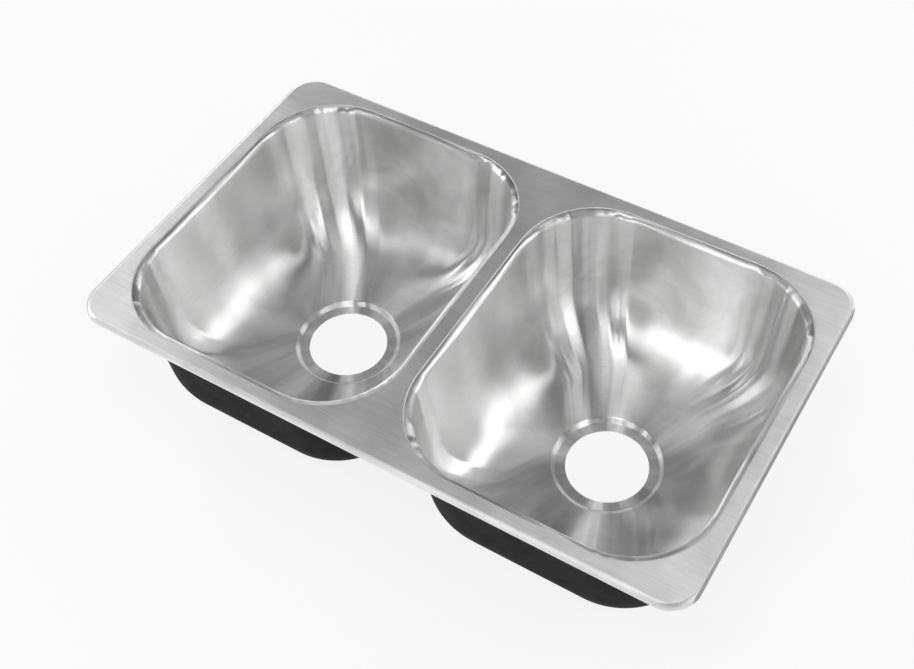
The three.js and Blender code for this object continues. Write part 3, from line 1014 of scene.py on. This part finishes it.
# %% [markdown]
# ## The sprayed coats
#
# The coat follows the outside of its bowl, from a little below the rim nearly to the
# drain. It could be a material on the bowl, but a sprayed coat is more than a millimetre
# thick and shows it at its edge. A sprayed edge is never a clean line, so the first and
# last loops wander a little and thin out. The noise has a fixed pattern, so each run
# gives the same edge.

# %% Coat: its two faces
COAT_TOP_DEPTH = 14 * MM
COAT_FLOOR_SHARE = 0.9
COAT_LINE_STEPS = 24
COAT_WANDER = 0.5
WANDER_FINENESS = 6


def coat_face(depth):
    _, wall, blend = wall_section(depth)
    top, end = np.array(wall[0]), np.array(blend[0])
    along = end - top
    start = top + along * (DECK_TOP - COAT_TOP_DEPTH - top[1]) / along[1]
    line = [tuple(start + (end - start) * k / COAT_LINE_STEPS) for k in range(COAT_LINE_STEPS)]
    rows = [opening_loop(o, h) for o, h in [*line, *blend]]
    floor = floor_rows(rows[-1], depth)
    return rows + floor[: int(COAT_FLOOR_SHARE * FLOOR_STEPS)]


def wander(rows, seed):
    """Moves the two open edges in by a part of the way to the next loop."""
    for edge, inner in ((0, 1), (-1, -2)):
        for index in range(LOOP_POINTS):
            turn = index * 2 * math.pi / LOOP_POINTS
            x, y = WANDER_FINENESS * math.cos(turn), WANDER_FINENESS * math.sin(turn)
            share = COAT_WANDER * (0.5 + noise.noise(Vector((x, y, seed))))
            rows[edge][index] += (rows[inner][index] - rows[edge][index]) * share


print("loops on one face of a coat:", len(coat_face(SHEET + FIT_GAP)))

# %% Coat: one on each bowl
COAT_THICKNESS = 1.2 * MM
FEATHER = (0.12, 0.75)


def make_coat(side, x, seed):
    near = coat_face(SHEET + FIT_GAP)
    far = coat_face(SHEET + FIT_GAP + COAT_THICKNESS)
    wander(near, seed)
    wander(far, seed)
    for index, share in enumerate(FEATHER):
        far[index] = near[index] + (far[index] - near[index]) * share
        far[-1 - index] = near[-1 - index] + (far[-1 - index] - near[-1 - index]) * share
    rows = [*near, *reversed(far)]
    faces = stitch(len(rows), LOOP_POINTS, closed=True)
    place = Matrix.Translation((x, 0, 0))
    coat = new_piece(f"{side}_bowl_coat", np.concatenate(rows), faces, place)
    return stand_for(coat, f"{side}_undercoat")


for seed, (side, x) in enumerate((("left", -BOWL_X), ("right", BOWL_X))):
    coat = make_coat(side, x, seed)
    print(coat.name, len(coat.data.polygons), "faces")

# %% [markdown]
# ## Tools for small hardware
#
# The clips are stamped and turned parts. A stamped part is an outline with some
# thickness, cut by other outlines, with its edges broken by a small bevel. A turned part
# is a section swept round an axis. Modifiers could stay on the pieces, but they are
# applied here, so that each piece is a plain mesh that can be copied and measured.

# %% Turned parts and outlines
ROUND_STEPS = 32
CORNER_ARC_STEPS = 6
NEARLY_STRAIGHT = 0.01


def turned(name, section):
    """Sweeps a closed section of [radius, height] round Z."""
    angles = np.arange(ROUND_STEPS) * 2 * math.pi / ROUND_STEPS
    vertices = [
        (radius * math.cos(a), radius * math.sin(a), height)
        for radius, height in section
        for a in angles
    ]
    return new_piece(name, vertices, stitch(len(section), ROUND_STEPS, closed=True))


def rounded_outline(corners):
    """A polygon of [x, y, radius] with each corner rounded by its own arc."""
    points = []
    for index, (x, y, radius) in enumerate(corners):
        corner = Vector((x, y))
        back = (Vector(corners[index - 1][:2]) - corner).normalized()
        ahead = (Vector(corners[(index + 1) % len(corners)][:2]) - corner).normalized()
        half = back.angle(ahead) / 2
        if radius == 0 or abs(half - math.pi / 2) < NEARLY_STRAIGHT:
            points.append(corner)
            continue
        centre = corner + (back + ahead).normalized() * radius / math.sin(half)
        start = corner + back * radius / math.tan(half) - centre
        end = corner + ahead * radius / math.tan(half) - centre
        sweep = start.angle_signed(end)
        for share in np.linspace(0, 1, CORNER_ARC_STEPS + 1):
            points.append(centre + Matrix.Rotation(-sweep * share, 2) @ start)
    return points


def round_outline(radius):
    angles = np.arange(ROUND_STEPS) * 2 * math.pi / ROUND_STEPS
    return [(radius * math.cos(a), radius * math.sin(a)) for a in angles]


print("a turned part has", ROUND_STEPS, "sides")

# %% Stamped parts, cuts and bevels
BEVEL_ANGLE = math.radians(40)


def plate(name, outline, low, high, upright=False):
    """An outline with thickness: drawn from above, or, upright, as seen from the front."""
    count = len(outline)
    vertices = []
    for level in (low, high):
        for point in outline:
            spot = (point[0], level, point[1]) if upright else (point[0], point[1], level)
            vertices.append(spot)
    sides = [(i, (i + 1) % count, count + (i + 1) % count, count + i) for i in range(count)]
    caps = [tuple(range(count)), tuple(range(count, 2 * count))]
    return new_piece(name, vertices, sides + caps)


def combine(piece, other, operation):
    cut = piece.modifiers.new(operation, "BOOLEAN")
    cut.operation = operation
    cut.solver = "EXACT"
    cut.object = other
    settle(piece)
    bpy.data.objects.remove(other)
    return piece


def settle(piece):
    """Applies the piece's modifiers to its mesh."""
    graph = bpy.context.evaluated_depsgraph_get()
    shaped = bpy.data.meshes.new_from_object(piece.evaluated_get(graph))
    piece.modifiers.clear()
    piece.data = shaped
    return piece


def break_edges(piece, width):
    bevel = piece.modifiers.new("edges", "BEVEL")
    bevel.width = width
    bevel.segments = 2
    bevel.limit_method = "ANGLE"
    bevel.angle_limit = BEVEL_ANGLE
    return settle(piece)


print("edges over", round(math.degrees(BEVEL_ANGLE)), "degrees get a bevel")

# %% [markdown]
# ## The clip's rail
#
# A rail is a strip rolled into a channel, open below and spot-welded under the deck. Its
# turned-in lips hold a bolt's head and let it slide. The section is the same all along,
# so it is one outline with length.
#
# All the clips are alike, apart from the length of the rail. So each part is made once,
# as a master, with its bolt on the Z axis, z = 0 at the underside of the deck and X along
# the rail or the arm.

# %% Clip: rail
CORNER_RAIL = 32 * MM
MIDDLE_RAIL = 50 * MM
RAIL_WIDTH = 16 * MM
RAIL_HEIGHT = 7 * MM
RAIL_SHEET = 1.2 * MM
RAIL_SLOT = 7.4 * MM
RAIL_OUTER_BEND = 1.8 * MM
RAIL_INNER_BEND = 0.6 * MM
RAIL_EDGE = 0.12 * MM
STRIP_EDGE = 0.3 * MM
RAIL_TOP = -FIT_GAP
LIP_TOP = RAIL_TOP - RAIL_HEIGHT + RAIL_SHEET


def make_rail(name, length):
    """A rolled channel, open below, whose turned-in lips hold a bolt's head."""
    half, slot, bottom = RAIL_WIDTH / 2, RAIL_SLOT / 2, RAIL_TOP - RAIL_HEIGHT
    right = [
        (half, RAIL_TOP, RAIL_OUTER_BEND),
        (half, bottom, RAIL_OUTER_BEND),
        (slot, bottom, STRIP_EDGE),
        (slot, LIP_TOP, STRIP_EDGE),
        (half - RAIL_SHEET, LIP_TOP, RAIL_INNER_BEND),
        (half - RAIL_SHEET, RAIL_TOP - RAIL_SHEET, RAIL_INNER_BEND),
    ]
    section = [*right, *[(-x, y, r) for x, y, r in reversed(right)]]
    rail = plate(name, rounded_outline(section), -length / 2, length / 2, upright=True)
    rail.data.transform(Matrix.Rotation(math.pi / 2, 4, "Z"))
    return break_edges(rail, RAIL_EDGE)


masters = {
    "corner_rail": make_rail("corner_rail_master", CORNER_RAIL),
    "middle_rail": make_rail("middle_rail_master", MIDDLE_RAIL),
}
print("a rail has", len(masters["corner_rail"].data.polygons), "faces")

# %% [markdown]
# ## The bolt
#
# The bolt has a T-shaped head that can't turn in its rail, and a threaded shank. A bump
# could hint at the thread, but its outline would stay straight. Here each ring of points
# takes its radius from how far the helix has turned at that height, so the thread is
# real and the mesh is still a plain grid.

# %% Clip: bolt
BOLT_RADIUS = 3.1 * MM
BOLT_LENGTH = 34 * MM
BOLT_POINT = 1.2 * MM
PLAIN_SHANK = 4 * MM
HEAD_SIZE = (11 * MM, 12.8 * MM, 3 * MM)
HEAD_CORNER = 1.5 * MM
HEAD_EDGE = 0.35 * MM
THREAD_PITCH = 1.27 * MM
THREAD_DEPTH = 0.55 * MM
RINGS_PER_TURN = 8
HEAD_BOTTOM = LIP_TOP + FIT_GAP


def make_bolt(name):
    """A T-head over a shank with a real helical thread."""
    end = HEAD_BOTTOM + HEAD_SIZE[2] - BOLT_LENGTH
    top = HEAD_BOTTOM + HEAD_SIZE[2] / 2
    thread_top = HEAD_BOTTOM - PLAIN_SHANK
    threaded = np.arange(end, thread_top, THREAD_PITCH / RINGS_PER_TURN)
    heights = [*threaded, thread_top + THREAD_PITCH, top]
    angles = np.arange(ROUND_STEPS) * 2 * math.pi / ROUND_STEPS
    vertices = []
    for height in heights:
        for angle in angles:
            turn = height / THREAD_PITCH - angle / (2 * math.pi)
            groove = THREAD_DEPTH * (0.5 - 0.5 * math.cos(2 * math.pi * turn))
            fade = min(1.0, max(0.0, (thread_top - height) / THREAD_PITCH))
            point = max(0.0, end + BOLT_POINT - height)
            radius = min(BOLT_RADIUS - groove * fade, BOLT_RADIUS - point)
            vertices.append((radius * math.cos(angle), radius * math.sin(angle), height))
    faces = stitch(len(heights), ROUND_STEPS)
    faces.append(tuple(range(ROUND_STEPS)))
    faces.append(tuple(range(len(vertices) - ROUND_STEPS, len(vertices))))
    shank = new_piece(name, vertices, faces)
    half_x, half_y = HEAD_SIZE[0] / 2, HEAD_SIZE[1] / 2
    corners = [(sx * half_x, sy * half_y, HEAD_CORNER) for sx, sy in CORNERS]
    head = plate("head", rounded_outline(corners), HEAD_BOTTOM, HEAD_BOTTOM + HEAD_SIZE[2])
    break_edges(head, HEAD_EDGE)
    return combine(shank, head, "UNION")


masters["bolt"] = make_bolt("bolt_master")
print("the bolt has", len(masters["bolt"].data.polygons), "faces")

# %% [markdown]
# ## The claw
#
# The claw is stamped from strip. Its far end turns up into a tooth that bites the
# worktop from below, and its other end is round. One outline shows the turned-up tooth
# from the side, and another shows the round end from above. What the two have in common,
# found by a Boolean, is the claw.

# %% Clip: claw
CLAW_TOP = -25.2 * MM
CLAW_SHEET = 2 * MM
CLAW_REACH = 33 * MM
CLAW_TAIL = 7 * MM
CLAW_WIDTH = 10 * MM
CLAW_TOOTH = 1.5 * MM
CLAW_HOLE = 3.6 * MM
CLAW_EDGE = 0.2 * MM
TOOTH_OUTER_BEND = 2.2 * MM
TOOTH_INNER_BEND = 0.5 * MM
NOTCH_STEP = 2.5 * MM
NOTCH_HALF = 0.8 * MM
NOTCH_FLOOR = CLAW_TOP + 0.7 * MM
TAIL_ROUND = 0.98 * CLAW_WIDTH / 2


def make_claw(name):
    """A stamped arm with a turned-up, notched tooth at its far end."""
    bottom = CLAW_TOP - CLAW_SHEET
    tooth = CLAW_REACH - CLAW_SHEET
    side = rounded_outline([
        (-CLAW_TAIL, bottom, 0),
        (CLAW_REACH, bottom, TOOTH_OUTER_BEND),
        (CLAW_REACH, CLAW_TOP + CLAW_TOOTH, STRIP_EDGE),
        (tooth, CLAW_TOP + CLAW_TOOTH, STRIP_EDGE),
        (tooth, CLAW_TOP, TOOTH_INNER_BEND),
        (-CLAW_TAIL, CLAW_TOP, 0),
    ])
    half = CLAW_WIDTH / 2
    claw = plate(name, side, -half, half, upright=True)
    plan = rounded_outline([
        (CLAW_REACH + MM, -half, 0),
        (CLAW_REACH + MM, half, 0),
        (-CLAW_TAIL, half, TAIL_ROUND),
        (-CLAW_TAIL, -half, TAIL_ROUND),
    ])
    combine(claw, plate("plan", plan, bottom - MM, CLAW_TOP + 2 * CLAW_TOOTH), "INTERSECT")
    hole = plate("hole", round_outline(CLAW_HOLE), bottom - MM, CLAW_TOP + MM)
    combine(claw, hole, "DIFFERENCE")
    above = CLAW_TOP + 2 * MM
    for y in (-NOTCH_STEP, 0.0, NOTCH_STEP):
        notch = [(y - NOTCH_HALF, above), (y, NOTCH_FLOOR), (y + NOTCH_HALF, above)]
        cutter = plate("notch", notch, tooth - MM, CLAW_REACH + MM, upright=True)
        cutter.data.transform(Matrix.Rotation(-math.pi / 2, 4, "Z"))
        combine(claw, cutter, "DIFFERENCE")
    return break_edges(claw, CLAW_EDGE)


masters["claw"] = make_claw("claw_master")
print("the claw has", len(masters["claw"].data.polygons), "faces")

# %% [markdown]
# ## The washer
#
# The washer spreads the nut's push over the claw. It is a flat ring with its edges
# rounded by the press, which a section swept round the axis gives in one go.

# %% Clip: washer
WASHER_TOP = CLAW_TOP - CLAW_SHEET - FIT_GAP
WASHER_SHEET = 1.2 * MM
WASHER_RADIUS = 7.5 * MM
WASHER_EDGE = 0.3 * MM
WASHER_EDGE_STEPS = 3


def make_washer(name):
    low, soft = WASHER_TOP - WASHER_SHEET, WASHER_EDGE
    rim = WASHER_RADIUS - soft
    section = [
        (CLAW_HOLE, low + soft),
        (CLAW_HOLE + soft, low),
        *arc((rim, low + soft), soft, -math.pi / 2, 0, WASHER_EDGE_STEPS),
        *arc((rim, WASHER_TOP - soft), soft, 0, math.pi / 2, WASHER_EDGE_STEPS),
        (CLAW_HOLE + soft, WASHER_TOP),
        (CLAW_HOLE, WASHER_TOP - soft),
    ]
    return turned(name, section)


masters["washer"] = make_washer("washer_master")
print("the washer has", len(masters["washer"].data.polygons), "faces")

# %% [markdown]
# ## The wing nut
#
# Two ears let fingers turn the nut. On the real nut hub and ears are one casting, so the
# turned hub and the flat ears are joined by a Boolean union. The bore is cut last, so
# that it goes through both.

# %% Clip: wing nut
NUT_TOP = WASHER_TOP - WASHER_SHEET - FIT_GAP
NUT_HEIGHT = 6.5 * MM
NUT_BORE = 3.4 * MM
HUB_RADIUS = 5.6 * MM
HUB_COLLAR = 1.0 * MM
WAIST_RADIUS = 4.6 * MM
FOOT_RADIUS = 4.0 * MM
FOOT_CHAMFER = 0.6 * MM
WING_REACH = 11 * MM
WING_SHEET = 2 * MM
WING_EDGE = 0.5 * MM
WING_FOOT = 4.2 * MM
WING_TIP_HEIGHT = 4.4 * MM
WING_ROOT = 5.0 * MM
WING_ROOT_DROP = 0.8 * MM


def make_wing_nut(name):
    """A cast hub with two ears that spread away from the washer."""
    low = NUT_TOP - NUT_HEIGHT
    waist = low + FOOT_CHAMFER
    hub = turned(name, [
        (NUT_BORE / 2, NUT_TOP),
        (HUB_RADIUS, NUT_TOP),
        (HUB_RADIUS, NUT_TOP - HUB_COLLAR),
        (WAIST_RADIUS, waist),
        (FOOT_RADIUS, low),
        (NUT_BORE / 2, low),
    ])
    right_ear = [
        (WING_FOOT, waist, 2.0 * MM),
        (WING_REACH, low, 2.4 * MM),
        (WING_REACH, low + WING_TIP_HEIGHT, 2.0 * MM),
        (WING_ROOT, NUT_TOP - WING_ROOT_DROP, 1.5 * MM),
    ]
    left_ear = [(-x, height, radius) for x, height, radius in reversed(right_ear)]
    ears = rounded_outline([*right_ear, *left_ear])
    wings = plate("wings", ears, -WING_SHEET / 2, WING_SHEET / 2, upright=True)
    break_edges(wings, WING_EDGE)
    combine(hub, wings, "UNION")
    bore = plate("bore", round_outline(NUT_BORE), low - MM, NUT_TOP + MM)
    return combine(hub, bore, "DIFFERENCE")


masters["wing_nut"] = make_wing_nut("wing_nut_master")
print("the wing nut has", len(masters["wing_nut"].data.polygons), "faces")

# %% [markdown]
# ## A clip at each station
#
# Six clips stand round the sink: one near each corner, and one in the middle of each
# long side. The frame's boxes tell where each bolt is and which way its claw's arm
# points. The rails at the corners lie across them, at 45 degrees. Linked copies could
# share one mesh, but each piece gets its own, because it stands for a node of its own.

# %% Clip: one at each station
BOLT_NODES = sorted(node for node in frame["nodes"] if node.startswith("clip_bolt_"))
STATIONS = [node.removeprefix("clip_bolt_") for node in BOLT_NODES]


def copy_to(master, name, place, turn):
    piece = bpy.data.objects.new(name, master.data.copy())
    bpy.context.scene.collection.objects.link(piece)
    piece.matrix_world = Matrix.Translation(place) @ Matrix.Rotation(turn, 4, "Z")
    return piece


for station in STATIONS:
    low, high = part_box(f"clip_bolt_{station}")
    place = Vector(((low.x + high.x) / 2, (low.y + high.y) / 2, DECK_TOP - SHEET))
    claw_low, claw_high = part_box(f"clip_claw_{station}")
    arm_turn = 0.0 if (claw_low.x + claw_high.x) / 2 > place.x else math.pi
    corner = "middle" not in station
    rail_turn = -math.copysign(math.pi / 4, place.x * place.y) if corner else 0.0
    rail = masters["corner_rail" if corner else "middle_rail"]
    for kind, master, turn in (
        ("rail", rail, rail_turn),
        ("bolt", masters["bolt"], rail_turn),
        ("claw", masters["claw"], arm_turn),
        ("washer", masters["washer"], 0.0),
        ("wing_nut", masters["wing_nut"], 0.0),
    ):
        piece = copy_to(master, f"{kind}_{station}", place, turn)
        stand_for(piece, f"clip_{kind}_{station}")
for master in masters.values():
    bpy.data.objects.remove(master)
print("clips at", ", ".join(STATIONS))

# %% [markdown]
# ## The studio
#
# Bright steel shows what is round it, so the studio matters as much as the metal. One
# big lamp would fill a bowl with one even tone. Many narrow softboxes round the sink,
# with dim gaps between them, give each wall its own bright and dark bands instead.
#
# The floor is pale, and it looks nearly white to the camera and in reflections while it
# still keeps a soft shadow. A brighter lamp could whiten it too, but it would bleach the
# steel. A share of plain white that only those rays see does it without more light.

# %% Floor
FLOOR_SIZE = 12.0
FLOOR_WHITE = 0.86


def make_floor():
    half = FLOOR_SIZE / 2
    floor = new_piece(
        "studio_floor",
        [(-half, -half, 0), (half, -half, 0), (half, half, 0), (-half, half, 0)],
        [(0, 1, 2, 3)],
    )
    material, tree, shader = new_material("pale_floor")
    shader.inputs["Base Color"].default_value = (0.9, 0.9, 0.9, 1.0)
    shader.inputs["Roughness"].default_value = 0.9
    path = add_node(tree, "ShaderNodeLightPath")
    seen = calculate(tree, "MAXIMUM",
        calculate(tree, "MAXIMUM", path.outputs["Is Camera Ray"], path.outputs["Is Glossy Ray"]),
        path.outputs["Is Transmission Ray"])
    white = add_node(tree, "ShaderNodeEmission", {"Color": (1, 1, 1, 1), "Strength": 1.0})
    mix = add_node(tree, "ShaderNodeMixShader", {
        0: calculate(tree, "MULTIPLY", seen, FLOOR_WHITE),
        1: shader.outputs["BSDF"],
        2: white.outputs["Emission"],
    })
    tree.links.new(mix.outputs["Shader"], tree.nodes["Material Output"].inputs["Surface"])
    floor.data.materials.append(material)
    return floor


make_floor()
print("floor:", FLOOR_SIZE, "m square")

# %% [markdown]
# ### Room and softboxes
#
# The room is pale near the horizon and dim above it, so that outward faces don't go
# black. Most softboxes stand at about two heights, two lie low and three hang above. Each
# is listed by how bright its face looks, because that is what the steel mirrors, and its
# power follows from its size.

# %% Room
ROOM_LOW = 0.85
ROOM_HIGH = 0.08
ROOM_FADE = (0.15, 0.35)


def make_world():
    """Pale up to a little above the horizon, and dimmer overhead."""
    world = bpy.data.worlds.new("studio_room")
    world.use_nodes = True
    tree = world.node_tree
    direction = add_node(tree, "ShaderNodeTexCoord").outputs["Generated"]
    height = add_node(tree, "ShaderNodeSeparateXYZ", {0: direction}).outputs["Z"]
    brightness = rescale(tree, height, *ROOM_FADE, ROOM_LOW, ROOM_HIGH)
    background = tree.nodes["Background"]
    background.inputs["Color"].default_value = (1.0, 1.0, 1.0, 1.0)
    tree.links.new(brightness, background.inputs["Strength"])
    bpy.context.scene.world = world


make_world()
print("room:", ROOM_LOW, "near the horizon,", ROOM_HIGH, "above")

# %% Softboxes
LAMP_DISTANCE = 1.75
SINK_MIDDLE = Vector((0.0, 0.0, 0.15))


def softbox(name, azimuth, elevation, width, height, brightness):
    """A flat lamp that faces the sink; brightness is how bright its face looks, where 1
    is white. Azimuth 0 is to the right, 90 at the back."""
    data = bpy.data.lights.new(name, "AREA")
    data.shape = "RECTANGLE"
    data.size = width
    data.size_y = height
    data.energy = brightness * math.pi * width * height
    lamp = bpy.data.objects.new(name, data)
    bpy.context.scene.collection.objects.link(lamp)
    lamp.visible_camera = False
    turn, tilt = math.radians(azimuth), math.radians(elevation)
    flat = math.cos(tilt)
    out = Vector((flat * math.cos(turn), flat * math.sin(turn), math.sin(tilt)))
    lamp.location = SINK_MIDDLE + LAMP_DISTANCE * out
    lamp.rotation_euler = (-out).to_track_quat("-Z", "Y").to_euler()
    return lamp


# name, azimuth, elevation, width, height, brightness
LAMPS = [
    ("right", 33, 27, 0.4, 0.65, 4.8),
    ("right_fill", 357, 27, 0.8, 0.6, 1.4),
    ("right_low", 40, 6, 1.2, 0.37, 1.2),
    ("right_middle", 57, 42, 0.5, 0.37, 2.1),
    ("back", 80, 22, 0.45, 0.65, 4.0),
    ("back_low", 128, 6, 1.1, 0.37, 1.4),
    ("back_left", 150, 23, 0.35, 0.65, 3.9),
    ("left", 202, 27, 0.6, 0.6, 4.8),
    ("left_middle", 188, 46, 0.3, 0.5, 3.5),
    ("left_back_middle", 163, 36, 0.15, 0.35, 1.2),
    ("front_left_middle", 226, 46, 0.22, 0.5, 3.7),
    ("front", 261, 32, 0.4, 0.5, 6.2),
    ("front_right", 300, 18, 0.45, 0.37, 1.6),
    ("right_front_middle", 350, 42, 0.3, 0.5, 3.8),
    ("top_front", 285, 66, 0.4, 0.5, 5.4),
    ("top_right", 42, 66, 0.4, 0.37, 2.6),
    ("top", 300, 86, 0.7, 0.6, 2.0),
]

for lamp in LAMPS:
    softbox(*lamp)
bpy.context.scene.view_settings.view_transform = "Standard"
